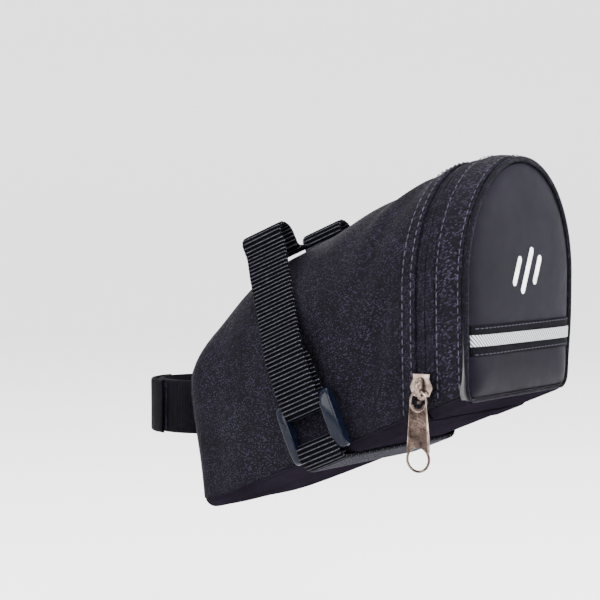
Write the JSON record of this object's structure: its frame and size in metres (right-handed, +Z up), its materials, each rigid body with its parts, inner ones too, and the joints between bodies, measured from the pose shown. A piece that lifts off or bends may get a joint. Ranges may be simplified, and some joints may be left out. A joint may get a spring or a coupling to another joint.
{
  "type": "saddle bag",
  "caption": "Wedge-shaped bag that hangs under a bicycle saddle, with a zipped padded lid, two rail straps and a post strap.",
  "frame": {"origin": "on the seatpost's axis, halfway up the post strap", "axes": "+Z up along the seatpost, +Y the way the bicycle goes, +X its right side"},
  "size_m": [0.0949, 0.1734, 0.145],
  "materials": {
    "woven_polyester": "matte",
    "coated_pu": "satin",
    "black_webbing": "matte",
    "black_plastic": "gloss",
    "nickel": "polished",
    "zip_tape": "matte",
    "coil_plastic": "satin",
    "foam_lining": "matte",
    "board": "matte",
    "reflective_tape": "satin",
    "white_print": "matte"
  },
  "bodies": {
    "root": {"base_board": "board", "base_panel": "coated_pu", "base_strap": "black_webbing", "body_coil": "coil_plastic", "body_lining": "foam_lining", "body_wrap": "woven_polyester", "body_zip_tape": "zip_tape", "buckle_left": "black_plastic", "buckle_right": "black_plastic", "front_panel": "woven_polyester", "hinge_strip": "black_webbing", "post_strap": "black_webbing", "rail_strap_left": "black_webbing", "rail_strap_right": "black_webbing", "rim_binding": "woven_polyester", "strap_loop_tape": "zip_tape", "zip_stops": "nickel"},
    "lid": {"lid_gusset": "woven_polyester", "lid_sole": "coated_pu", "lid_board": "board", "lid_foam": "foam_lining", "lid_piping": "woven_polyester", "lid_zip_tape": "zip_tape", "lid_coil": "coil_plastic", "rear_panel_upper": "coated_pu", "rear_panel_lower": "coated_pu", "rear_ribbon": "black_webbing", "reflective_stripe": "reflective_tape", "panel_mark": "white_print"},
    "slider": {"slider_body": "nickel", "slider_crown": "nickel"},
    "pull": {"pull_tab": "nickel"},
    "post_flap": {"post_strap_flap": "black_webbing", "strap_hook_patch": "zip_tape"}
  },
  "joints": [
    {"name": "lid_hinge", "type": "hinge", "parent": "root", "child": "lid", "pos_m": [0, -0.132, 0.00419], "axis": [1, 0, 0], "range_deg": [0, 95]},
    {"name": "zip_slide", "type": "slide", "parent": "root", "child": "slider", "axis": [0, 0, 1], "range_m": [0, 0.033]},
    {"name": "pull_swing", "type": "hinge", "parent": "slider", "child": "pull", "pos_m": [-0.0472, -0.132, 0.01545], "axis": [0, 1, 0], "range_deg": [0, 150]},
    {"name": "post_flap_peel", "type": "hinge", "parent": "root", "child": "post_flap", "pos_m": [0.00501, 0.02008, 0], "axis": [0, 0, -1], "range_deg": [0, 60]}
  ]
}
